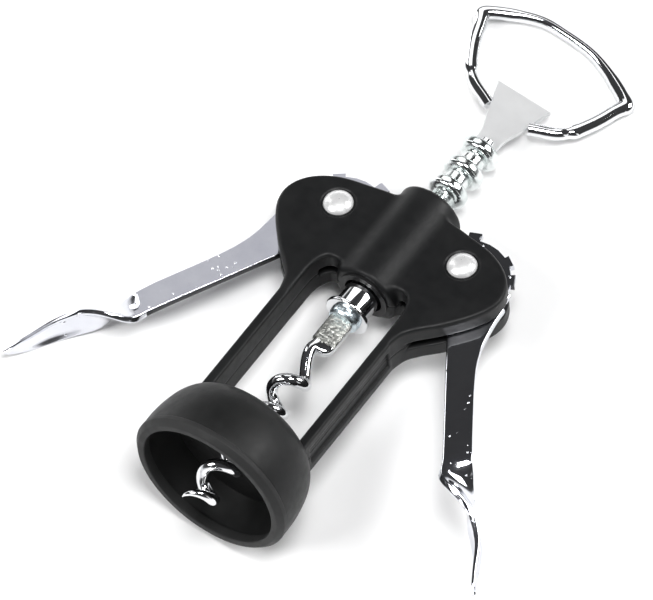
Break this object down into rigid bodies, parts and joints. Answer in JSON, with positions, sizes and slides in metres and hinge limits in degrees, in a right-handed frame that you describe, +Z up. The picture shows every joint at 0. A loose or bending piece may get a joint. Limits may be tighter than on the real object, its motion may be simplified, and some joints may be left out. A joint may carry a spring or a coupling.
{
  "type": "double-lever corkscrew",
  "caption": "Double-lever corkscrew lying on its side: bell-ended frame, geared wing levers, toothed rack with coiled worm, and a loop handle with a crown-cap opener.",
  "frame": {"origin": "centre of the bounding box's base, where the corkscrew lies on the table", "axes": "+Z up from the table, +Y level along the screw axis towards the handle loop, +X across the levers to the right of the front face"},
  "size_m": [0.1278, 0.1536, 0.0406],
  "materials": {
    "charcoal_plastic": "fine satin moulded texture",
    "lip_plastic": "fine satin moulded texture, a shade paler",
    "black_plastic": "plain moulded",
    "bush_plastic": "plain moulded acetal",
    "satin_steel": "satin",
    "lever_chrome": "bright plated over pressed steel strip",
    "chrome_plate": "bright plated",
    "worm_chrome": "bright plated, rough on the pressed flat",
    "zinc_plate": "bluish bright zinc"
  },
  "bodies": {
    "frame": {"front_shell": "charcoal_plastic", "rear_shell": "charcoal_plastic", "bell": "charcoal_plastic", "bell_lip_ring": "lip_plastic", "screw_guide_bush": "black_plastic", "upper_rack_bush": "bush_plastic", "lower_rack_bush": "bush_plastic", "left_pivot_rivet": "satin_steel", "right_pivot_rivet": "satin_steel", "left_pivot_sleeve": "satin_steel", "right_pivot_sleeve": "satin_steel", "rivet_washers": "satin_steel"},
    "left_lever": {"left_lever": "lever_chrome"},
    "right_lever": {"right_lever": "lever_chrome"},
    "rack": {"rack_sleeve": "chrome_plate"},
    "screw": {"spindle": "chrome_plate", "worm": "worm_chrome", "worm_collar": "chrome_plate", "collar_washer": "zinc_plate", "worm_ferrule": "zinc_plate", "handle_loop": "chrome_plate", "opener_plate": "satin_steel", "handle_pin": "satin_steel"}
  },
  "joints": [
    {"name": "right_lever_pivot", "type": "hinge", "parent": "frame", "child": "right_lever", "pos_m": [0.01588, 0.00653, 0.01303], "axis": [-0.1357, 0.1276, 0.9825], "range_deg": [-19, 78]},
    {"name": "left_lever_pivot", "type": "hinge", "parent": "frame", "child": "left_lever", "pos_m": [-0.0178, 0.00593, 0.00845], "axis": [-0.1357, 0.1276, 0.9825], "range_deg": [-78, 19]},
    {"name": "rack_slide", "type": "slide", "parent": "frame", "child": "rack", "axis": [0, 0.9917, -0.1288], "range_m": [-0.0178, 0.0044]},
    {"name": "screw_spin", "type": "hinge", "parent": "rack", "child": "screw", "pos_m": [-0.00096, 0.00623, 0.01074], "axis": [0, 0.9917, -0.1288], "continuous": true}
  ],
  "couplings": [
    {"joint": "left_lever_pivot", "follows": "right_lever_pivot", "ratio": -1},
    {"joint": "rack_slide", "follows": "right_lever_pivot", "m_per_rad": -0.013}
  ]
}
